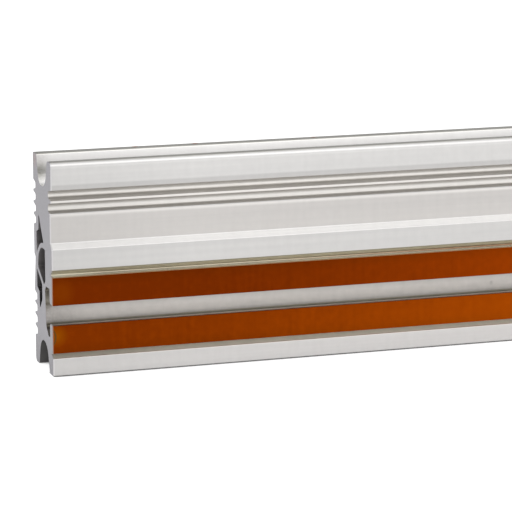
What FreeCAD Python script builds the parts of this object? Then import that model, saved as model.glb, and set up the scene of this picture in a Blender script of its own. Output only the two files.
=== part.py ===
import FreeCAD, Part
import math
import os

# Bus bar: one hollow aluminium extrusion that carries two copper contact strips on its
# front, one on each side of a T-slot for hammer-head bolts.
# X runs along the bar, the strips face -Y and the bar stands on its two lower legs.
# Sizes are in millimetres. In the section, depth is measured from the front face
# backwards and height from the feet upwards.

# Overall size of the extrusion
LENGTH = 1670.0
HEIGHT = 120.0
DEPTH = 40.0

# The U channel at the top, the arch at the bottom and the legs beside them
LEG_TIP = 8.0
CHANNEL_DEPTH = 16.1
CHANNEL_FLOOR = 14.8
CHANNEL_ROUND = 9.5
UPPER_FLOOR_SHIFT = 0.4
UPPER_BACK_ROUND = 7.0
LEG_EDGE_ROUND = 1.0
FOOT_ROUND = 2.5
TOP_FRONT_ROUND = 2.8
TOP_INNER_ROUND = 3.5

# Round-bottomed notches above and below the rib of the back
LEG_LENGTH = 14.9
NOTCH_COUNT = 4
NOTCH_PITCH = 6.6
NOTCH_DEPTH = 5.0
NOTCH_FLOOR = 3.2
NOTCH_ROUND = 1.2
RIDGE_TIP = 1.0
RIDGE_ROUND = 0.3

# Shallow dent across the middle of the back
DENT_DEPTH = 2.8
DENT_RISE = 1.5
DENT_FALL = 17.0
DENT_ROUND = 1.5

# Front above the strips: pad, two coved grooves with a ridge between, recess, bevel and band
PAD_HEIGHT = 15.6
PAD_LEAN_HEIGHT = 2.6
PAD_LEAN = 0.3
GROOVE_DEPTH = 6.5
GROOVE_CEILING_FALL = 1.0
GROOVE_COVE = 3.0
GROOVE_ROUND = 1.6
GROOVE_FLANK_FALL = 1.3
FIRST_GROOVE_HEIGHT = 4.6
SECOND_GROOVE_HEIGHT = 4.9
FRONT_RIDGE_DEPTH = 1.2
FRONT_RIDGE_FACE = 1.3
FRONT_RIDGE_ROUND = 0.5
RECESS_DEPTH = 3.2
BEVEL_HEIGHT = 3.1
BAND_HEIGHT = 11.65
FRONT_EDGE_ROUND = 0.8

# T-slot, open to the front
SLOT_HEIGHT = 34.6
SLOT_MOUTH = 11.3
SLOT_LIP = 6.0
LIP_ROUND = 2.2
POCKET_DEPTH = 16.4
POCKET_LEAN = 1.9
POCKET_UP = 13.75
POCKET_DOWN = 13.65
POCKET_TOP_BEVEL = 2.6
POCKET_FLOOR = 3.5
POCKET_SLOPE = 4.5
POCKET_SLOPE_ROUND = 1.5
POCKET_ROUND = 0.8

# Copper contact strips and the small grooves along their outer edges
STRIP_WIDTH = 15.8
STRIP_THICKNESS = 2.0
STRIP_SEAT = 0.5
STRIP_EDGE_ROUND = 0.4
UPPER_GROOVE_WIDTH = 3.7
LOWER_GROOVE_WIDTH = 3.25
EDGE_GROOVE_DEPTH = 4.0
EDGE_GROOVE_FLOOR = 0.5
EDGE_GROOVE_ROUND = 0.3

# Three closed chambers and the walls round them
BACK_WALL = 5.6
FRONT_WALL = 15.2
CHAMBER_WEB = 2.8
CHAMBER_REACH = 9.0
CHAMBER_STEP = 1.0
CHAMBER_STEP_FALL = 2.0
CHAMBER_ROUND = 0.8
ARCH_ROUND = 12.0
ARCH_RISE = 8.8
ARCH_TURN = 40.0
MIDDLE_DIAGONAL = 8.0
MIDDLE_CORNER = 2.6
MIDDLE_TOE = 3.1
UPPER_TOE = 2.8
LOWER_FRONT_WALL = 6.3
LOWER_TOE = 4.5

# Lines that several features share
STRIP_PROUD = STRIP_THICKNESS - STRIP_SEAT
MIDDLE = HEIGHT / 2
MOUTH_TOP = SLOT_HEIGHT + SLOT_MOUTH / 2
MOUTH_BOTTOM = SLOT_HEIGHT - SLOT_MOUTH / 2
POCKET_TOP = SLOT_HEIGHT + POCKET_UP
POCKET_BOTTOM = SLOT_HEIGHT - POCKET_DOWN
RIB_BOTTOM = LEG_LENGTH + NOTCH_COUNT * NOTCH_PITCH
RIB_TOP = HEIGHT - RIB_BOTTOM
RIB_WALL = DEPTH - BACK_WALL
NOTCH_WALL = RIB_WALL - NOTCH_DEPTH


def section_point(depth, height):
    """Point of the section at the bar's -X end, with the origin under the middle."""
    middle_depth = (DEPTH - STRIP_PROUD) / 2
    return FreeCAD.Vector(-LENGTH / 2, depth - middle_depth, height)


def rounded_wire(corners):
    """Closed wire through corners of (depth, height, radius), each rounded by an arc."""
    count = len(corners)
    points = [section_point(depth, height) for depth, height, _ in corners]
    ways = [(points[(i + 1) % count] - points[i]) for i in range(count)]
    halves = [(-ways[i - 1]).getAngle(ways[i]) / 2 for i in range(count)]
    reaches = [corners[i][2] / math.tan(halves[i]) for i in range(count)]
    # A round is kept short enough to leave some of each side straight.
    shares = [min(1.0, 0.98 * ways[i].Length / max(reaches[i] + reaches[(i + 1) % count], 1e-9))
              for i in range(count)]
    edges = []
    leaving = []
    arriving = []
    for i in range(count):
        reach = reaches[i] * min(shares[i - 1], shares[i])
        back = (-ways[i - 1]).normalize()
        ahead = FreeCAD.Vector(ways[i]).normalize()
        start = points[i] + back * reach
        end = points[i] + ahead * reach
        arriving.append(start)
        leaving.append(end)
        if reach > 0:
            radius = reach * math.tan(halves[i])
            to_centre = (back + ahead).normalize()
            top = points[i] + to_centre * (radius / math.sin(halves[i]) - radius)
            edges.append(Part.Arc(start, top, end).toShape())
    for i in range(count):
        edges.append(Part.LineSegment(leaving[i], arriving[(i + 1) % count]).toShape())
    return Part.Wire(Part.__sortEdges__(edges))


def mirrored(corners):
    """The same corners turned over about the bar's mid-height, in walking order."""
    return [(depth, HEIGHT - height, radius) for depth, height, radius in reversed(corners)]


def front_upper_corners():
    """Pad, two grooves, recess, bevel and band, from the top down."""
    pad_bottom = HEIGHT - PAD_HEIGHT
    first_floor = pad_bottom - FIRST_GROOVE_HEIGHT
    ridge_top = first_floor - GROOVE_FLANK_FALL
    ridge_bottom = ridge_top - FRONT_RIDGE_FACE
    second_floor = ridge_bottom - SECOND_GROOVE_HEIGHT
    recess_top = second_floor - GROOVE_FLANK_FALL
    band_bottom = MOUTH_TOP + STRIP_WIDTH + UPPER_GROOVE_WIDTH
    bevel_bottom = band_bottom + BAND_HEIGHT
    return [
        (0, HEIGHT, TOP_FRONT_ROUND),
        (0, pad_bottom + PAD_LEAN_HEIGHT, 0),
        (PAD_LEAN, pad_bottom, FRONT_RIDGE_ROUND),
        (GROOVE_DEPTH, pad_bottom - GROOVE_CEILING_FALL, GROOVE_COVE),
        (GROOVE_DEPTH, first_floor, GROOVE_ROUND),
        (FRONT_RIDGE_DEPTH, ridge_top, FRONT_RIDGE_ROUND),
        (FRONT_RIDGE_DEPTH, ridge_bottom, FRONT_RIDGE_ROUND),
        (GROOVE_DEPTH, ridge_bottom - GROOVE_CEILING_FALL, GROOVE_COVE),
        (GROOVE_DEPTH, second_floor, GROOVE_ROUND),
        (RECESS_DEPTH, recess_top, FRONT_EDGE_ROUND),
        (RECESS_DEPTH, bevel_bottom + BEVEL_HEIGHT, FRONT_EDGE_ROUND),
        (0, bevel_bottom, FRONT_EDGE_ROUND),
        (0, band_bottom, RIDGE_ROUND),
    ]


def slot_corners():
    """Seats of both strips, the grooves beside them and the T-slot, from the top down."""
    strip_top = MOUTH_TOP + STRIP_WIDTH
    strip_bottom = MOUTH_BOTTOM - STRIP_WIDTH
    wall_bottom = POCKET_BOTTOM + POCKET_SLOPE
    return [
        (EDGE_GROOVE_DEPTH, strip_top + EDGE_GROOVE_FLOOR, EDGE_GROOVE_ROUND),
        (STRIP_SEAT, strip_top, 0),
        (STRIP_SEAT, MOUTH_TOP, 0),
        (SLOT_LIP, MOUTH_TOP, LIP_ROUND),
        (SLOT_LIP, POCKET_TOP, POCKET_ROUND),
        (POCKET_DEPTH - POCKET_TOP_BEVEL, POCKET_TOP, POCKET_ROUND),
        (POCKET_DEPTH, POCKET_TOP - POCKET_TOP_BEVEL, POCKET_ROUND),
        (POCKET_DEPTH - POCKET_LEAN, wall_bottom, POCKET_SLOPE_ROUND),
        (SLOT_LIP + POCKET_FLOOR, POCKET_BOTTOM, POCKET_ROUND),
        (SLOT_LIP, POCKET_BOTTOM, POCKET_ROUND),
        (SLOT_LIP, MOUTH_BOTTOM, LIP_ROUND),
        (STRIP_SEAT, MOUTH_BOTTOM, 0),
        (STRIP_SEAT, strip_bottom, 0),
        (EDGE_GROOVE_DEPTH, strip_bottom - EDGE_GROOVE_FLOOR, EDGE_GROOVE_ROUND),
        (0, strip_bottom - LOWER_GROOVE_WIDTH, RIDGE_ROUND),
    ]


def foot_arch_corners():
    """The arch between the two feet, from the front foot to the back one."""
    crown_front = (DEPTH - CHANNEL_FLOOR) / 2
    crown_back = (DEPTH + CHANNEL_FLOOR) / 2
    return [
        (LEG_TIP, 0, FOOT_ROUND),
        (crown_front, CHANNEL_DEPTH, CHANNEL_ROUND),
        (crown_back, CHANNEL_DEPTH, CHANNEL_ROUND),
        (DEPTH - LEG_TIP, 0, LEG_EDGE_ROUND),
    ]


def channel_corners():
    """The U channel at the top, from the back leg to the front one."""
    floor = HEIGHT - CHANNEL_DEPTH
    floor_front = (DEPTH - CHANNEL_FLOOR) / 2
    floor_back = (DEPTH + CHANNEL_FLOOR) / 2 + UPPER_FLOOR_SHIFT
    return [
        (DEPTH - LEG_TIP, HEIGHT, LEG_EDGE_ROUND),
        (floor_back, floor, UPPER_BACK_ROUND),
        (floor_front, floor, CHANNEL_ROUND),
        (LEG_TIP, HEIGHT, TOP_INNER_ROUND),
    ]


def notch_corners():
    """The lower row of notches in the back, from the foot up to the rib."""
    half_mouth = (NOTCH_PITCH - RIDGE_TIP) / 2
    half_floor = NOTCH_FLOOR / 2
    floor_depth = DEPTH - NOTCH_DEPTH
    corners = []
    for row in range(NOTCH_COUNT):
        centre = LEG_LENGTH + (row + 0.5) * NOTCH_PITCH
        corners += [
            (DEPTH, centre - half_mouth, RIDGE_ROUND),
            (floor_depth, centre - half_floor, NOTCH_ROUND),
            (floor_depth, centre + half_floor, NOTCH_ROUND),
            (DEPTH, centre + half_mouth, RIDGE_ROUND),
        ]
    return corners


def dent_corners():
    """The shallow dent in the rib of the back, from the bottom up."""
    deepest = MIDDLE + DENT_RISE / 2
    return [
        (DEPTH, deepest - DENT_FALL, DENT_ROUND),
        (DEPTH - DENT_DEPTH, deepest, DENT_ROUND),
        (DEPTH, deepest + DENT_RISE, RIDGE_ROUND),
    ]


def outer_corners():
    """The whole outline of the extrusion, once round."""
    outline = front_upper_corners() + slot_corners()
    outline += [(0, 0, FRONT_EDGE_ROUND)] + foot_arch_corners() + [(DEPTH, 0, FOOT_ROUND)]
    outline += notch_corners() + dent_corners() + mirrored(notch_corners())
    outline += [(DEPTH, HEIGHT, LEG_EDGE_ROUND)] + channel_corners()
    return outline


def arch_line():
    """Depth of the back and height of the top of the middle chamber."""
    return RIB_WALL - CHAMBER_WEB, MIDDLE + ARCH_RISE


def upper_chamber():
    """Chamber above the arched web, running up to a point behind the upper notches."""
    middle_back, middle_top = arch_line()
    web_round = ARCH_ROUND + CHAMBER_WEB
    web_top = middle_top + CHAMBER_WEB
    turn = math.radians(ARCH_TURN)
    bend = middle_back - ARCH_ROUND + web_round * math.tan(turn / 2)
    heel = web_top - (RIB_WALL - bend) * math.tan(turn)
    step = RIB_TOP - CHAMBER_STEP
    return [
        (NOTCH_WALL, RIB_TOP + CHAMBER_REACH, CHAMBER_ROUND),
        (NOTCH_WALL, step, CHAMBER_ROUND),
        (RIB_WALL, step - CHAMBER_STEP_FALL, CHAMBER_ROUND),
        (RIB_WALL, heel, CHAMBER_ROUND),
        (bend, web_top, web_round),
        (FRONT_WALL + UPPER_TOE, web_top, CHAMBER_ROUND),
    ]


def middle_chamber():
    """D-shaped chamber in the middle, round at its upper back."""
    back, top = arch_line()
    return [
        (FRONT_WALL, top, CHAMBER_ROUND),
        (back, top, ARCH_ROUND),
        (back, POCKET_TOP + MIDDLE_DIAGONAL, DENT_ROUND),
        (FRONT_WALL + MIDDLE_TOE, POCKET_TOP, DENT_ROUND),
        (FRONT_WALL, POCKET_TOP + MIDDLE_CORNER, CHAMBER_ROUND),
    ]


def lower_chamber():
    """Chamber under the slanting web, running down to a point behind the lower notches."""
    middle_back, _ = arch_line()
    front = POCKET_DEPTH + LOWER_FRONT_WALL
    slope = MIDDLE_DIAGONAL / (middle_back - FRONT_WALL - MIDDLE_TOE)
    drop = CHAMBER_WEB * math.hypot(1, slope)
    web_back = POCKET_TOP + MIDDLE_DIAGONAL - drop + slope * (RIB_WALL - middle_back)
    web_front = web_back - slope * (RIB_WALL - front)
    step = RIB_BOTTOM + CHAMBER_STEP
    return [
        (RIB_WALL, web_back, CHAMBER_ROUND),
        (RIB_WALL, step + CHAMBER_STEP_FALL, CHAMBER_ROUND),
        (NOTCH_WALL, step, CHAMBER_ROUND),
        (NOTCH_WALL - CHAMBER_ROUND, RIB_BOTTOM - CHAMBER_REACH, CHAMBER_ROUND),
        (front, SLOT_HEIGHT + LOWER_TOE, DENT_ROUND),
        (front, web_front, DENT_ROUND),
    ]


def profile():
    """The aluminium extrusion: its outline less the three chambers, drawn out along X."""
    section = Part.Face(rounded_wire(outer_corners()))
    for chamber in (upper_chamber(), middle_chamber(), lower_chamber()):
        section = section.cut(Part.Face(rounded_wire(chamber)))
    return section.Faces[0].extrude(FreeCAD.Vector(LENGTH, 0, 0))


def contact_strip(bottom):
    """A copper flat seated on the front, with its two outer edges broken."""
    top = bottom + STRIP_WIDTH
    corners = [
        (-STRIP_PROUD, top, STRIP_EDGE_ROUND),
        (-STRIP_PROUD, bottom, STRIP_EDGE_ROUND),
        (STRIP_SEAT, bottom, 0),
        (STRIP_SEAT, top, 0),
    ]
    return Part.Face(rounded_wire(corners)).extrude(FreeCAD.Vector(LENGTH, 0, 0))


os.makedirs("parts", exist_ok=True)
profile().exportStep("parts/aluminium_profile.step")
contact_strip(MOUTH_TOP).exportStep("parts/upper_contact_strip.step")
contact_strip(MOUTH_BOTTOM - STRIP_WIDTH).exportStep("parts/lower_contact_strip.step")
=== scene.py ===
import math

import bmesh
import bpy
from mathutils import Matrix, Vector


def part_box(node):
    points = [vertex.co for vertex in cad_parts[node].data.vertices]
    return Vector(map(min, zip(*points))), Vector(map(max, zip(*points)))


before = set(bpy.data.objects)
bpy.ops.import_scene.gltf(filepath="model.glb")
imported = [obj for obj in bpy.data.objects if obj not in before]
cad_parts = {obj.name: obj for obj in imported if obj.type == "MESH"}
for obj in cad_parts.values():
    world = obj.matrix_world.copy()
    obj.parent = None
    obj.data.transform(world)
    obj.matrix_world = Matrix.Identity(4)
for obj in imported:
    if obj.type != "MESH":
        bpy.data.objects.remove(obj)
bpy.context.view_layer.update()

# Aluminium profile
# One hollow extrusion of anodised aluminium, pressed through a die and sawn to length.
# The die leaves fine lines along the bar, and the saw leaves dull arcs across its two ends.
BAR_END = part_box("aluminium_profile")[1].x
SATIN_LIGHT = (0.655, 0.645, 0.632, 1)
SATIN_DARK = (0.602, 0.593, 0.584, 1)
SATIN_SMOOTH = 0.38
SATIN_ROUGH = 0.42
NOISE_LOW = 0.3
NOISE_HIGH = 0.7
EDGE_BLUR = 0.0002

# Painted highlights and painted shade of the metal by height: each list gives heights in metres with
# their tones, which brighten some stretches and darken others on the front's rounds, bevel and grooves,
# in the channel and in the slot. LIP_TONE and the flank tones are painted highlights on the slot's lower
# lip and on the upper edge groove's flank. Each box gives a stretch of the section: two depths, then two
# heights. FAR_FROM and FAR_TO are distances from a sawn end, between which the look of the upper edge
# groove changes.
FRONT_FROM = -0.009
FRONT_TONES = ((0, 0.87), (0.0095, 0.88), (0.0101, 1.17), (0.0130, 1.17), (0.0135, 0.95), (0.0557, 0.95),
               (0.0560, 0.76), (0.0567, 0.80), (0.0574, 0.99), (0.0593, 1.00), (0.0599, 0.93), (0.0712, 0.93),
               (0.0718, 1.37), (0.0742, 1.32), (0.0748, 0.89), (0.0886, 0.89), (0.0894, 1), (0.0899, 1.15),
               (0.0904, 1.12), (0.0910, 0.72), (0.0922, 0.74), (0.0928, 1.22), (0.0938, 1.22), (0.0950, 1),
               (0.0962, 1.02), (0.0970, 1.02), (0.0974, 1.18), (0.0983, 1.18), (0.0987, 0.86), (0.0997, 0.88),
               (0.1003, 1.36), (0.1013, 1.36), (0.1021, 1), (0.1041, 0.99), (0.1045, 0.79), (0.1069, 0.81),
               (0.1079, 1), (0.1164, 1), (0.1172, 1.10), (0.1182, 1.14), (0.12, 1.15))
CHANNEL = (-0.0115, 0.0205, 0.1030, 0.121)
CHANNEL_TONES = ((0, 1.95), (0.1044, 1.95), (0.1050, 1.65), (0.1060, 1.36), (0.1068, 1.03), (0.1075, 0.87),
                 (0.1083, 0.88), (0.1091, 1.0), (0.1098, 1.0), (0.1107, 0.88), (0.1118, 0.89), (0.1130, 0.98),
                 (0.1150, 1.10), (0.1165, 1.16), (0.1178, 1.22), (0.1192, 1.28), (0.12, 1.20))
SLOT_WALL = (-0.0085, -0.0020, 0.024, 0.0385)
SLOT_TONES = ((0, 0.6), (0.0264, 0.6), (0.0272, 1.2), (0.0279, 1.42), (0.0290, 1.40), (0.0302, 1.20),
              (0.0322, 1.02), (0.0334, 1), (0.0348, 0.93), (0.0360, 0.84), (0.06, 0.84))
LIP_TOP = (-0.0190, -0.0157, 0.0280, 0.0293)
LIP_TONE = 1.50
GROOVE_FLANK = (-0.0190, -0.0157, 0.0556, 0.0568)
FLANK_TONE = 1.47
FAR_FLANK_TONE = 1.85
FAR_FROM = 0.12
FAR_TO = 0.24
END_DULLNESS = 0.91
END_DULL_LENGTH = 0.08
STREAK_CHANGE = 0.015
CLOUD_CHANGE = 0.015
WALL_CLOUD_CHANGE = 0.025

# Tints of the metal. Two values are heights, and four are a box of the section. The front's are
# those of its lower and upper edge grooves, its recess and its coved grooves; the upper edge groove's
# yellow tint is a painted reflection of the copper strip below it. The upper groove's corner gets
# painted shade from CORNER_FROM to CORNER_TO, which are distances from a sawn end.
FRONT_TINTS = (((0.0099, 0.0132), (1, 0.985, 0.93, 1)),
               ((0.0567, 0.0596), (1, 0.96, 0.78, 1)),
               ((0.0748, 0.0905), (1, 0.98, 0.965, 1)),
               ((0.0912, 0.1045), (1, 0.985, 0.96, 1)))
# A thin painted shade along the lower edge of the front band, above the upper edge groove
BAND_EDGE = (0.0595, 0.05995)
BAND_EDGE_BLUR = 0.00005
BAND_EDGE_SHADE = (0.52, 0.51, 0.44, 1)
SLOT_TINT = (1, 0.97, 0.94, 1)
# Painted shade with an olive tint at the foot of the slot wall, a warm tint on the painted highlight of the
# lower lip's top, and painted shade in the gap at the lip's inner round
SLOT_FOOT = (-0.0085, -0.0020, 0.0250, 0.0274)
SLOT_FOOT_SHADE = (0.93, 0.91, 0.78, 1)
LIP_TINT = (1, 0.88, 0.76, 1)
LIP_EDGE = (-0.0158, -0.0128, 0.0265, 0.0292)
LIP_SHADE = (0.45, 0.43, 0.37, 1)
TIPS = (0.1196, 0.1210)
TIP_TINT = (1, 1, 0.95, 1)
# A painted shade line in the upper edge groove's corner, growing in away from the ends
GROOVE_CORNER = (-0.0168, -0.0145, 0.0569, 0.0573)
CORNER_SHADE = (0.42, 0.36, 0.29, 1)
CORNER_FROM = 0.008
CORNER_TO = 0.030
# A painted orange reflection of the copper strip in the upper edge groove's corner, far from the ends
REFLECTION_CORNER = (-0.0160, -0.0145, 0.0565, 0.0568)
COPPER_REFLECTION = (0.55, 0.39, 0.32, 1)

# Shade in the chambers, under the arch and in the pocket of the T-slot
CHAMBERS = ((-0.0043, 0.0154, 0.048, 0.090), (0, 0.0154, 0.030, 0.048))
HOLLOW_TINT = (1, 0.975, 1, 1)
HOLLOW_TONES = ((0, 0.16), (0.0400, 0.18), (0.0430, 0.40), (0.0480, 0.40), (0.0510, 0.58),
                (0.0555, 0.68), (0.0562, 0.62), (0.0568, 0.45), (0.0575, 0.50), (0.0585, 0.63),
                (0.0595, 0.77), (0.0655, 0.95), (0.0675, 0.95), (0.0695, 0.70), (0.12, 0.70))
FOOT_ARCH = (-0.0111, 0.0126, -0.001, 0.0163)
ARCH_SHADE = (0.13, 0.128, 0.13, 1)
POCKETS = (((-0.0133, -0.0024, 0.0378, 0.050), (0.58, 0.55, 0.48, 1)),
           ((-0.0133, -0.0024, 0.020, 0.0250), (0.58, 0.55, 0.50, 1)))
POCKET_BLUR = 0.0016

# Painted shade near one sawn end, and one smudge: in the channel a dark band and a haze, in the
# T-slot a fall of shade towards the end and a dark patch below the upper lip, and further along a small
# dark smudge on the slot wall. Each has its place, core, reach and shade. A fine grain breaks them into
# patches.
SHADE_AND_SMUDGES = (((-0.8345, 0.0095, 0.1108), 0.0015, 0.0065, (0.55, 0.55, 0.50, 1)),
           ((-0.8350, 0.0130, 0.1175), 0, 0.009, (0.76, 0.74, 0.73, 1)),
           ((-0.8350, -0.0045, 0.0315), 0, 0.024, (0.67, 0.665, 0.67, 1)),
           ((-0.8348, -0.0037, 0.0368), 0.0010, 0.0038, (0.55, 0.54, 0.50, 1)),
           ((-0.5665, -0.0043, 0.0318), 0.0004, 0.0016, (0.70, 0.70, 0.70, 1)))
PATCH_LEAST = 0.6
PATCH_FROM = 0.35
PATCH_TO = 0.65

# A painted highlight along the sawn edges of the front, copper dust on the upper back edge and a stain at its
# end
END_EDGE_HIGHLIGHT = (0.585, 0.576, 0.58, 1)
END_EDGE_HIGHLIGHT_FULL = 0.00035
END_EDGE_HIGHLIGHT_GONE = 0.00105
END_EDGE_HIGHLIGHT_FROM = -0.0150
COPPER_DUST = (0.50, 0.17, 0.05, 1)
COPPER_FLECKS = ((-0.7765, 0.0186, 0.1195), (-0.7410, 0.0186, 0.1195), (-0.6695, 0.0186, 0.1195))
FLECK_CORE = 0.0008
FLECK_REACH = 0.0024
TIP_STAIN = (0.40, 0.345, 0.345, 1)
TIP_STAIN_PLACE = (-0.835, 0.0165, 0.1165)
TIP_STAIN_CORE = 0.001
TIP_STAIN_REACH = 0.006

# The sawn ends, and the sizes of the fine marks on all faces. A Wave texture of scale 1 repeats
# after WAVE_PERIOD.
SAWN_LIGHT = (0.41, 0.402, 0.422, 1)
SAWN_DARK = (0.34, 0.332, 0.352, 1)
SAWN_SMOOTH = 0.48
SAWN_ROUGH = 0.62
# Painted shade on the sawn ends towards the floor
SAWN_FOOT_SHADE = 0.82
SAWN_FOOT_HEIGHT = 0.022
SAWN_SKIN = 0.00005
SAW_CENTRE_Y = 0.03
SAW_CENTRE_Z = -0.16
SAW_MARK_PITCH = 0.0011
SAW_MARK_RELIEF = 0.00004
SAW_WANDER = 3.0
SAW_WANDER_DETAIL = 2.0
SAW_WANDER_SCALE = 0.4
SAW_GRAIN = 0.0012
SAW_GRAIN_DETAIL = 3.0
WAVE_PERIOD = 2 * math.pi / 20
DIE_LINE_WIDTH = 0.0007
DIE_BAND_WIDTH = 0.004
DIE_LINE_LENGTH = 0.4
DIE_LINE_DETAIL = 2.0
DIE_LINE_RELIEF = 0.000012
STREAK_WIDTH = 0.004
STREAK_HEIGHT = 0.05
STREAK_DETAIL = 3.0
CLOUD_SIZE = 0.004
CLOUD_DETAIL = 4.0


def node(tree, kind, inputs=None, **settings):
    """Adds a shader node. An input is a plain value, or another node's output to link from."""
    made = tree.nodes.new("ShaderNode" + kind)
    for name, value in settings.items():
        setattr(made, name, value)
    for socket, value in (inputs or {}).items():
        if isinstance(value, bpy.types.NodeSocket):
            tree.links.new(value, made.inputs[socket])
        else:
            made.inputs[socket].default_value = value
    return made


def calculate(tree, operation, first, second=0.0):
    """Adds a Math node and gives its result."""
    return node(tree, "Math", {0: first, 1: second}, operation=operation).outputs[0]


def spread(tree, value, low, high, start=0.0, stop=1.0):
    """Maps a value that runs from start to stop onto low to high, and gives the result."""
    sockets = {"Value": value, "From Min": start, "From Max": stop, "To Min": low, "To Max": high}
    return node(tree, "MapRange", sockets).outputs["Result"]


def vary(tree, noise, low, high):
    """Maps a noise, nearly all of which lies between two known limits, onto low to high."""
    return spread(tree, noise, low, high, NOISE_LOW, NOISE_HIGH)


def mix_colours(tree, share, first, second, how="MIX"):
    """Blends two colours by a share and gives the result. The Mix node's colour sockets are 6 and 7."""
    return node(tree, "Mix", {0: share, 6: first, 7: second}, data_type="RGBA", blend_type=how).outputs[2]


def tint(tree, colour, share, by):
    """Multiplies a colour by a tint or a tone, as far as a share says."""
    return mix_colours(tree, share, colour, by, "MULTIPLY")


def mix_values(tree, share, first, second):
    """Blends two values by a share and gives the result. The Mix node's value sockets are 2 and 3."""
    return node(tree, "Mix", {0: share, 2: first, 3: second}).outputs[0]


def within(tree, value, low, high, blur=EDGE_BLUR):
    """1 where a value lies between two limits, falling softly to 0 outside them."""
    above = spread(tree, value, 0, 1, low - blur, low)
    return calculate(tree, "MULTIPLY", above, spread(tree, value, 1, 0, high, high + blur))


def inside(tree, depth, height, box, blur=EDGE_BLUR):
    """1 inside a box of the section, which gives two depths and two heights."""
    return calculate(tree, "MULTIPLY", within(tree, depth, box[0], box[1], blur),
                     within(tree, height, box[2], box[3], blur))


def spot(tree, place, centre, core, reach):
    """1 round a point on the piece, falling from its core to 0 at its reach."""
    away = node(tree, "VectorMath", {0: place, 1: centre}, operation="DISTANCE").outputs["Value"]
    return spread(tree, away, 1, 0, core, reach)


def largest(tree, values):
    """Gives the largest of some masks."""
    result = values[0]
    for value in values[1:]:
        result = calculate(tree, "MAXIMUM", result, value)
    return result


def tones(tree, value, stops):
    """Gives the tone at a value from 0 up, between stops that list values with their tones."""
    span = stops[-1][0]
    curve = node(tree, "FloatCurve", {"Value": spread(tree, value, 0, 1, 0, span)})
    points = curve.mapping.curves[0].points
    for at, tone in stops[1:-1]:
        points.new(at / span, tone)
    points[0].location = (0, stops[0][1])
    points[-1].location = (1, stops[-1][1])
    for point in points:
        point.handle_type = "VECTOR"
    curve.mapping.use_clip = False
    curve.mapping.update()
    return curve.outputs[0]


def new_group(name, *outputs):
    """Starts a shader node group that reads a place on the piece."""
    tree = bpy.data.node_groups.new(name, "ShaderNodeTree")
    tree.interface.new_socket("Place", in_out="INPUT", socket_type="NodeSocketVector")
    for output in outputs:
        tree.interface.new_socket(output, in_out="OUTPUT", socket_type="NodeSocketFloat")
    place = tree.nodes.new("NodeGroupInput").outputs["Place"]
    return tree, place, tree.nodes.new("NodeGroupOutput").inputs


def die_lines_group():
    """Fine lines along the bar, with broader and fainter bands among them."""
    tree, place, results = new_group("die_lines", "Bands", "Lines")
    for result, width in (("Bands", DIE_BAND_WIDTH), ("Lines", DIE_LINE_WIDTH)):
        scale = (1 / DIE_LINE_LENGTH, 1 / width, 1 / width)
        stretched = node(tree, "Mapping", {"Vector": place, "Scale": scale}).outputs[0]
        lines = node(tree, "TexNoise", {"Vector": stretched, "Scale": 1.0, "Detail": DIE_LINE_DETAIL})
        tree.links.new(lines.outputs["Fac"], results[result])
    return tree


def saw_marks_group():
    """Shallow arcs of a round saw blade across a sawn end, and the torn grain between them."""
    tree, place, results = new_group("saw_marks", "Grain", "Arcs")
    centred = node(tree, "Mapping", {"Vector": place, "Location": (0, -SAW_CENTRE_Y, -SAW_CENTRE_Z)})
    arcs = node(tree, "TexWave", {"Vector": centred.outputs[0], "Scale": WAVE_PERIOD / SAW_MARK_PITCH,
                                  "Distortion": SAW_WANDER, "Detail": SAW_WANDER_DETAIL,
                                  "Detail Scale": SAW_WANDER_SCALE},
                wave_type="RINGS", rings_direction="X")
    grain = node(tree, "TexNoise", {"Vector": place, "Scale": 1 / SAW_GRAIN, "Detail": SAW_GRAIN_DETAIL})
    tree.links.new(grain.outputs["Fac"], results["Grain"])
    tree.links.new(arcs.outputs["Fac"], results["Arcs"])
    return tree


def handling_group():
    """Faint streaks up and down the faces, left by hands and wrapping, and faint clouds in the finish."""
    tree, place, results = new_group("handling", "Streaks", "Clouds")
    squeezed = node(tree, "Mapping", {"Vector": place, "Scale": (1 / STREAK_WIDTH, 0, 1 / STREAK_HEIGHT)})
    streaks = node(tree, "TexNoise", {"Vector": squeezed.outputs[0], "Scale": 1.0, "Detail": STREAK_DETAIL})
    clouds = node(tree, "TexNoise", {"Vector": place, "Scale": 1 / CLOUD_SIZE, "Detail": CLOUD_DETAIL})
    tree.links.new(streaks.outputs["Fac"], results["Streaks"])
    tree.links.new(clouds.outputs["Fac"], results["Clouds"])
    return tree


def place_group(tree, group, place):
    """Puts a node group into a material, and gives its outputs."""
    made = node(tree, "Group", node_tree=group)
    tree.links.new(place, made.inputs["Place"])
    return made.outputs


def sawn_share(tree, place):
    """1 on the bar's two sawn ends and 0 elsewhere."""
    along = node(tree, "SeparateXYZ", {"Vector": place}).outputs["X"]
    return calculate(tree, "GREATER_THAN", calculate(tree, "ABSOLUTE", along), BAR_END - SAWN_SKIN)


def new_material(name):
    """Starts a material, and gives it with its node tree and its surface's node."""
    material = bpy.data.materials.new(name)
    material.use_nodes = True
    return material, material.node_tree, material.node_tree.nodes["Principled BSDF"]


def dress(piece, material):
    """Gives a CAD piece its material."""
    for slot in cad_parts[piece].material_slots:
        slot.material = material


die_lines = die_lines_group()
saw_marks = saw_marks_group()
handling = handling_group()
aluminium, tree, surface = new_material("satin_aluminium")
place = node(tree, "TexCoord").outputs["Object"]
along, depth, height = node(tree, "SeparateXYZ", {"Vector": place}).outputs
from_end = calculate(tree, "SUBTRACT", BAR_END, calculate(tree, "ABSOLUTE", along))
far = spread(tree, from_end, 0, 1, FAR_FROM, FAR_TO)
front = calculate(tree, "LESS_THAN", depth, FRONT_FROM)
sawn = sawn_share(tree, place)
lines = place_group(tree, die_lines, place)
marks = place_group(tree, saw_marks, place)
handled = place_group(tree, handling, place)
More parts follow.
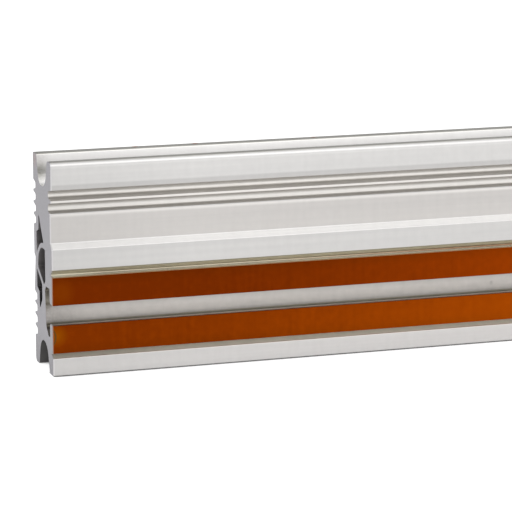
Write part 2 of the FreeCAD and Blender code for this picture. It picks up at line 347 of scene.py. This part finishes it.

# The tone of the drawn faces: painted highlights and painted shade by height and in the channel, slot,
# lip and groove flank, darker towards the ends, and varied by handling
channel = inside(tree, depth, height, CHANNEL)
slot_wall = inside(tree, depth, height, SLOT_WALL)
lip_top = inside(tree, depth, height, LIP_TOP)
flank = inside(tree, depth, height, GROOVE_FLANK)
tone = mix_values(tree, front, 1.0, tones(tree, height, FRONT_TONES))
tone = mix_values(tree, channel, tone, tones(tree, height, CHANNEL_TONES))
tone = mix_values(tree, slot_wall, tone, tones(tree, height, SLOT_TONES))
tone = mix_values(tree, lip_top, tone, LIP_TONE)
tone = mix_values(tree, flank, tone, mix_values(tree, far, FLANK_TONE, FAR_FLANK_TONE))
dull = spread(tree, from_end, END_DULLNESS, 1, 0, END_DULL_LENGTH)
streaks = vary(tree, handled["Streaks"], 1 - STREAK_CHANGE, 1 + STREAK_CHANGE)
clouds = vary(tree, handled["Clouds"], 1 - CLOUD_CHANGE, 1 + CLOUD_CHANGE)
wall_clouds = vary(tree, handled["Clouds"], 1 - WALL_CLOUD_CHANGE, 1 + WALL_CLOUD_CHANGE)
for change in (dull, streaks, clouds, mix_values(tree, slot_wall, 1.0, wall_clouds)):
    tone = calculate(tree, "MULTIPLY", tone, change)

# The colour of the drawn faces: tints, painted shade and painted reflection in grooves, slot and hollows,
# a painted highlight along the sawn edges, one smudge and copper flecks
drawn = mix_colours(tree, vary(tree, lines["Bands"], 0, 1), SATIN_DARK, SATIN_LIGHT)
drawn = tint(tree, drawn, 1.0, tone)
# Tints in the grooves and the recess; the upper edge groove's is a painted reflection of the copper
for span, by in FRONT_TINTS:
    drawn = tint(tree, drawn, calculate(tree, "MULTIPLY", within(tree, height, *span), front), by)
drawn = tint(tree, drawn, slot_wall, SLOT_TINT)
# Painted shade at the foot of the slot wall, and a warm tint on the lower lip's painted highlight
drawn = tint(tree, drawn, inside(tree, depth, height, SLOT_FOOT), SLOT_FOOT_SHADE)
drawn = tint(tree, drawn, lip_top, LIP_TINT)
drawn = tint(tree, drawn, within(tree, height, *TIPS), TIP_TINT)
hollow = largest(tree, [inside(tree, depth, height, box) for box in CHAMBERS])
drawn = tint(tree, drawn, hollow, tint(tree, HOLLOW_TINT, 1.0, tones(tree, height, HOLLOW_TONES)))
drawn = tint(tree, drawn, inside(tree, depth, height, FOOT_ARCH), ARCH_SHADE)
for box, shade in POCKETS:
    drawn = tint(tree, drawn, inside(tree, depth, height, box, POCKET_BLUR), shade)
# Painted shade in the gap at the lower lip's inner round
drawn = tint(tree, drawn, inside(tree, depth, height, LIP_EDGE), LIP_SHADE)
# Painted shade near the sawn end, and one smudge, broken into patches by the grain
patchy = spread(tree, marks["Grain"], PATCH_LEAST, 1, PATCH_FROM, PATCH_TO)
for centre, core, reach, shade in SHADE_AND_SMUDGES:
    shade_and_smudge = calculate(tree, "MULTIPLY", spot(tree, place, centre, core, reach), patchy)
    drawn = tint(tree, drawn, shade_and_smudge, shade)
# Painted highlight along the sawn edges of the front
end_edge_highlight = calculate(tree, "MULTIPLY", spread(tree, from_end, 1, 0, END_EDGE_HIGHLIGHT_FULL, END_EDGE_HIGHLIGHT_GONE),
                 calculate(tree, "LESS_THAN", depth, END_EDGE_HIGHLIGHT_FROM))
drawn = mix_colours(tree, end_edge_highlight, drawn, END_EDGE_HIGHLIGHT)
# Painted shade line in the upper edge groove's corner
corner = calculate(tree, "MULTIPLY", inside(tree, depth, height, GROOVE_CORNER),
                   spread(tree, from_end, 0, 1, CORNER_FROM, CORNER_TO))
drawn = tint(tree, drawn, corner, CORNER_SHADE)
# Painted reflection of the copper in the groove's corner, away from the ends
glow = calculate(tree, "MULTIPLY", inside(tree, depth, height, REFLECTION_CORNER), far)
drawn = tint(tree, drawn, glow, COPPER_REFLECTION)
# Painted shade along the band's lower edge
band_edge = calculate(tree, "MULTIPLY", within(tree, height, *BAND_EDGE, BAND_EDGE_BLUR), front)
drawn = tint(tree, drawn, band_edge, BAND_EDGE_SHADE)
flecks = largest(tree, [spot(tree, place, centre, FLECK_CORE, FLECK_REACH) for centre in COPPER_FLECKS])
drawn = mix_colours(tree, flecks, drawn, COPPER_DUST)

# The colour of the sawn ends, with a stain and with painted shade towards the foot
cut = mix_colours(tree, vary(tree, marks["Grain"], 0, 1), SAWN_DARK, SAWN_LIGHT)
stained = spot(tree, place, TIP_STAIN_PLACE, TIP_STAIN_CORE, TIP_STAIN_REACH)
cut = mix_colours(tree, stained, cut, TIP_STAIN)
cut = tint(tree, cut, 1.0, spread(tree, height, SAWN_FOOT_SHADE, 1, 0, SAWN_FOOT_HEIGHT))

# The surface: sawn on the two ends and drawn elsewhere
drawn_roughness = vary(tree, lines["Bands"], SATIN_SMOOTH, SATIN_ROUGH)
sawn_roughness = vary(tree, marks["Grain"], SAWN_SMOOTH, SAWN_ROUGH)
die_relief = node(tree, "Bump", {"Height": lines["Lines"], "Distance": DIE_LINE_RELIEF}).outputs[0]
saw_relief = node(tree, "Bump", {"Height": marks["Arcs"], "Distance": SAW_MARK_RELIEF}).outputs[0]
relief = node(tree, "Mix", {0: sawn, 4: die_relief, 5: saw_relief}, data_type="VECTOR").outputs[1]
tree.links.new(mix_colours(tree, sawn, drawn, cut), surface.inputs["Base Color"])
tree.links.new(mix_values(tree, sawn, drawn_roughness, sawn_roughness), surface.inputs["Roughness"])
tree.links.new(relief, surface.inputs["Normal"])
surface.inputs["Metallic"].default_value = 1
dress("aluminium_profile", aluminium)

# Contact strips
# Two flats of copper on the front, one on each side of the T-slot, sawn with the bar.
# Lacquer and oxide make their faces a deep orange brown. A painted brightening, for the brighter
# light they reflect away from the sawn ends, makes them paler towards the middle of the bar.
UPPER_DEEP = (0.146, 0.0194, 0.0005, 1)
UPPER_WARM = (0.283, 0.0400, 0.0006, 1)
UPPER_RISE = 2.0
UPPER_TOP_SHADE = (0.82, 0.87, 1, 1)
UPPER_FOOT_SHADE = (0.99, 0.97, 1, 1)
LOWER_DEEP = (0.176, 0.0257, 0.0005, 1)
LOWER_WARM = (0.330, 0.0556, 0.0006, 1)
LOWER_RISE = 1.2
LOWER_TOP_SHADE = (0.95, 0.93, 1, 1)
LOWER_FOOT_SHADE = (0.87, 0.90, 1, 1)
# Painted shade along each strip's top and foot edges reaches EDGE_SHADE_WIDTH in
EDGE_SHADE_WIDTH = 0.006
# The painted brightening rises between WARM_FROM and WARM_TO from a sawn end
WARM_FROM = 0.02
WARM_TO = 0.30
STREAK_WARMTH = 0.10
CLOUD_WARMTH = 0.09
COPPER_SMOOTH = 0.34
COPPER_ROUGH = 0.40
COPPER_SAWN = (0.28, 0.105, 0.038, 1)
COPPER_SAWN_ROUGH = 0.5

# A paler spot at the end of each strip, a painted highlight on the upper strip's top edge, and a bow-shaped
# stain on the lower strip
UPPER_AMBER = (0.172, 0.0285, 0.0006, 1)
UPPER_AMBER_PLACE = (-0.8300, -0.0207, 0.0475)
UPPER_AMBER_CORE = 0.003
UPPER_AMBER_REACH = 0.0085
TOP_EDGE_HIGHLIGHT = (0.56, 0.42, 0.27, 1)
TOP_EDGE_FROM = 0.00015
TOP_EDGE_FULL = 0.00005
LOWER_AMBER = (0.240, 0.0560, 0.0006, 1)
LOWER_AMBER_PLACE = (-0.8330, -0.0207, 0.0232)
LOWER_AMBER_CORE = 0.001
LOWER_AMBER_REACH = 0.0068
END_STAIN = (0.100, 0.0520, 0.0140, 1)
STAIN_HEIGHT = 0.0225
STAIN_HALF = 0.0045
STAIN_BULGE = 0.0015
STAIN_WIDTH = 0.0004
STAIN_FADE = 0.85


def copper_colour(tree, place, strip, deep, warm, rise, top_shade, foot_shade):
    """The colour of lacquered copper: a painted brightening makes it warmer away from the sawn ends, with
    faint streaks and painted shade along its top and foot edges.
    """
    at = node(tree, "SeparateXYZ", {"Vector": place}).outputs
    from_middle = calculate(tree, "ABSOLUTE", at["X"])
    # Painted brightening away from the sawn ends
    from_end = spread(tree, from_middle, 0, 1, BAR_END - WARM_FROM, BAR_END - WARM_TO)
    warmth = calculate(tree, "POWER", from_end, rise)
    handled = place_group(tree, handling, place)
    rubbed = calculate(tree, "ADD", vary(tree, handled["Streaks"], -STREAK_WARMTH, STREAK_WARMTH),
                       vary(tree, handled["Clouds"], -CLOUD_WARMTH, CLOUD_WARMTH))
    colour = mix_colours(tree, calculate(tree, "ADD", warmth, rubbed), deep, warm)
    foot, top = (corner.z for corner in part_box(strip))
    # Painted shade along the strip's top and foot edges
    near_top = spread(tree, at["Z"], 0, 1, top - EDGE_SHADE_WIDTH, top)
    near_foot = spread(tree, at["Z"], 0, 1, foot + EDGE_SHADE_WIDTH, foot)
    return tint(tree, tint(tree, colour, near_top, top_shade), near_foot, foot_shade)


def finish_copper(tree, surface, place, colour):
    """Joins the colour of a strip's faces to its sawn ends, and adds its gloss and its fine lines."""
    sawn = sawn_share(tree, place)
    lines = place_group(tree, die_lines, place)
    rubbed = place_group(tree, handling, place)["Streaks"]
    relief = node(tree, "Bump", {"Height": lines["Lines"], "Distance": DIE_LINE_RELIEF})
    roughness = mix_values(tree, sawn, vary(tree, rubbed, COPPER_SMOOTH, COPPER_ROUGH), COPPER_SAWN_ROUGH)
    tree.links.new(mix_colours(tree, sawn, colour, COPPER_SAWN), surface.inputs["Base Color"])
    tree.links.new(roughness, surface.inputs["Roughness"])
    tree.links.new(relief.outputs[0], surface.inputs["Normal"])
    surface.inputs["Metallic"].default_value = 1


upper_copper, tree, surface = new_material("upper_strip_copper")
place = node(tree, "TexCoord").outputs["Object"]
height = node(tree, "SeparateXYZ", {"Vector": place}).outputs["Z"]
colour = copper_colour(tree, place, "upper_contact_strip", UPPER_DEEP, UPPER_WARM, UPPER_RISE,
                       UPPER_TOP_SHADE, UPPER_FOOT_SHADE)
amber = spot(tree, place, UPPER_AMBER_PLACE, UPPER_AMBER_CORE, UPPER_AMBER_REACH)
colour = mix_colours(tree, amber, colour, UPPER_AMBER)
strip_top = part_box("upper_contact_strip")[1].z
# A painted highlight on the upper strip's top edge
top_edge = spread(tree, height, 0, 1, strip_top - TOP_EDGE_FROM, strip_top - TOP_EDGE_FULL)
colour = mix_colours(tree, top_edge, colour, TOP_EDGE_HIGHLIGHT)
finish_copper(tree, surface, place, colour)
dress("upper_contact_strip", upper_copper)

lower_copper, tree, surface = new_material("lower_strip_copper")
place = node(tree, "TexCoord").outputs["Object"]
at = node(tree, "SeparateXYZ", {"Vector": place}).outputs
colour = copper_colour(tree, place, "lower_contact_strip", LOWER_DEEP, LOWER_WARM, LOWER_RISE,
                       LOWER_TOP_SHADE, LOWER_FOOT_SHADE)
amber = spot(tree, place, LOWER_AMBER_PLACE, LOWER_AMBER_CORE, LOWER_AMBER_REACH)
colour = mix_colours(tree, amber, colour, LOWER_AMBER)
off_stain = calculate(tree, "ABSOLUTE", calculate(tree, "SUBTRACT", at["Z"], STAIN_HEIGHT))
rise = spread(tree, off_stain, 0, 1, 0, STAIN_HALF)
bulge = calculate(tree, "MULTIPLY", calculate(tree, "MULTIPLY", rise, rise), STAIN_BULGE)
arc = within(tree, calculate(tree, "ADD", at["X"], bulge), STAIN_BULGE - BAR_END - STAIN_WIDTH,
             STAIN_BULGE - BAR_END, STAIN_WIDTH)
stain = calculate(tree, "MULTIPLY", arc, spread(tree, rise, 1, 0, STAIN_FADE, 1))
colour = mix_colours(tree, stain, colour, END_STAIN)
finish_copper(tree, surface, place, colour)
dress("lower_contact_strip", lower_copper)

# Floor and studio
# The bar stands on a plain white floor under a white sky, with a thin dark line under its front.
# A grey cloth arches over it from behind, so that faces turned up show greyer in the metal.
WHITE = (1, 1, 1, 1)
FLOOR_SIZE = 30
FLOOR_GREY = (0.8, 0.8, 0.8, 1)
FLOOR_GLOW = 0.85
FLOOR_SHADE_REACH = 0.03
FLOOR_SHADE_DARK = 0.05
FLOOR_SHADE_OPEN = 0.30
SHADE_SAMPLES = 16
CONTACT_REACH = 0.005
CONTACT_DARK = 0.5
CONTACT_OPEN = 0.93
CONTACT_IN_METAL = 0.2
SEEN_SKY = 1.0
LIGHT_SKY = 0.4
CLOTH_GREY = (0.75, 0.75, 0.75, 1)
CLOTH_RADIUS = 2.6
CLOTH_LENGTH = 9
CLOTH_FROM = math.radians(3)
CLOTH_TURN = math.radians(65)
CLOTH_STEPS = 24


def seen_share(tree):
    """1 for rays that show the background to the camera, in metal or through glass, and 0 for light."""
    path = node(tree, "LightPath").outputs
    shown = calculate(tree, "MAXIMUM", path["Is Camera Ray"], path["Is Glossy Ray"])
    return calculate(tree, "MAXIMUM", shown, path["Is Transmission Ray"])


def new_matt(name):
    """Starts a material without gloss."""
    material, tree, surface = new_material(name)
    surface.inputs["Roughness"].default_value = 1
    surface.inputs["Specular IOR Level"].default_value = 0
    return material, tree, surface


def stage_piece(name, mesh_maker, material):
    """Makes a piece of the studio from a function that fills a bmesh."""
    shape = bmesh.new()
    mesh_maker(shape)
    mesh = bpy.data.meshes.new(name)
    shape.to_mesh(mesh)
    shape.free()
    mesh.materials.append(material)
    piece = bpy.data.objects.new(name, mesh)
    bpy.context.scene.collection.objects.link(piece)
    return piece


def floor_mesh(shape):
    """One flat square."""
    bmesh.ops.create_grid(shape, x_segments=1, y_segments=1, size=FLOOR_SIZE / 2)


def cloth_mesh(shape):
    """A straight edge along the bar, spun over it."""
    edge = [shape.verts.new((side * CLOTH_LENGTH / 2, CLOTH_RADIUS * math.cos(CLOTH_FROM),
                             CLOTH_RADIUS * math.sin(CLOTH_FROM))) for side in (-1, 1)]
    shape.edges.new(edge)
    bmesh.ops.spin(shape, geom=shape.verts[:] + shape.edges[:], cent=(0, 0, 0), axis=(1, 0, 0),
                   angle=CLOTH_TURN, steps=CLOTH_STEPS, use_merge=False)


# The floor glows white where the sky over it is open. The dark line lies in front of the bar,
# between its two ends, and shows less in the metal than on the floor itself.
floor_white, tree, surface = new_matt("floor_white")
place = node(tree, "TexCoord").outputs["Object"]
at = node(tree, "SeparateXYZ", {"Vector": place}).outputs
open_sky = node(tree, "AmbientOcclusion", {"Distance": FLOOR_SHADE_REACH}, samples=SHADE_SAMPLES)
contact = node(tree, "AmbientOcclusion", {"Distance": CONTACT_REACH}, samples=SHADE_SAMPLES)
lit = spread(tree, contact.outputs["AO"], 0, 1, CONTACT_DARK, CONTACT_OPEN)
beside = calculate(tree, "LESS_THAN", calculate(tree, "ABSOLUTE", at["X"]), BAR_END)
fronting = calculate(tree, "MULTIPLY", beside, calculate(tree, "LESS_THAN", at["Y"], 0.0))
direct = node(tree, "LightPath").outputs["Is Camera Ray"]
fronting = calculate(tree, "MULTIPLY", fronting, spread(tree, direct, CONTACT_IN_METAL, 1))
lit = mix_values(tree, fronting, 1.0, lit)
glow = spread(tree, open_sky.outputs["AO"], 0, FLOOR_GLOW, FLOOR_SHADE_DARK, FLOOR_SHADE_OPEN)
glow = calculate(tree, "MULTIPLY", glow, lit)
tree.links.new(tint(tree, FLOOR_GREY, 1.0, lit), surface.inputs["Base Color"])
surface.inputs["Emission Color"].default_value = WHITE
tree.links.new(calculate(tree, "MULTIPLY", seen_share(tree), glow), surface.inputs["Emission Strength"])
stage_piece("floor", floor_mesh, floor_white)

# The cloth shows only in the metal: it throws no shadow and the camera doesn't see it.
grey_cloth, tree, surface = new_matt("grey_cloth")
surface.inputs["Base Color"].default_value = CLOTH_GREY
cloth = stage_piece("cloth", cloth_mesh, grey_cloth)
cloth.visible_camera = False
cloth.visible_diffuse = False
cloth.visible_shadow = False
cloth.visible_transmission = False

# The sky is white to the eye and in the metal, and gives less light than it shows.
world = bpy.data.worlds.new("studio")
world.use_nodes = True
bpy.context.scene.world = world
sky = world.node_tree.nodes["Background"]
sky.inputs["Color"].default_value = WHITE
sky_strength = spread(world.node_tree, seen_share(world.node_tree), LIGHT_SKY, SEEN_SKY)
world.node_tree.links.new(sky_strength, sky.inputs["Strength"])

# Lamps
# One wide soft box hangs high in front of the bar and faces it. The rest of the light
# comes from the sky.
SOFT_BOX_PLACE = Vector((-0.5, -2.0, 2.15))
SOFT_BOX_AIM = Vector((-0.4, 0, 0.06))
SOFT_BOX_WIDTH = 3.4
SOFT_BOX_HEIGHT = 2.0
SOFT_BOX_POWER = 19
soft_box_data = bpy.data.lights.new("soft_box", "AREA")
soft_box_data.shape = "RECTANGLE"
soft_box_data.size = SOFT_BOX_WIDTH
soft_box_data.size_y = SOFT_BOX_HEIGHT
soft_box_data.energy = SOFT_BOX_POWER
soft_box = bpy.data.objects.new("soft_box", soft_box_data)
soft_box.location = SOFT_BOX_PLACE
soft_box.rotation_euler = (SOFT_BOX_AIM - SOFT_BOX_PLACE).to_track_quat("-Z", "Y").to_euler()
bpy.context.scene.collection.objects.link(soft_box)

# Camera
# A long lens looks from the front left and a little above at the bar's left end.
# Its picture cuts the bar off on the right.
CAMERA_PLACE = Vector((-1.1889, -1.4520, 0.3762))
CAMERA_TURN = math.radians(18.236)
CAMERA_DIP = math.radians(11.818)
CAMERA_LENS = 192.6
SENSOR_WIDTH = 36
camera_data = bpy.data.cameras.new("camera")
camera_data.lens = CAMERA_LENS
camera_data.sensor_width = SENSOR_WIDTH
camera = bpy.data.objects.new("camera", camera_data)
camera.location = CAMERA_PLACE
camera.rotation_euler = (math.pi / 2 - CAMERA_DIP, 0, -CAMERA_TURN)
bpy.context.scene.collection.objects.link(camera)
bpy.context.scene.camera = camera
bpy.context.scene.view_settings.view_transform = "Standard"
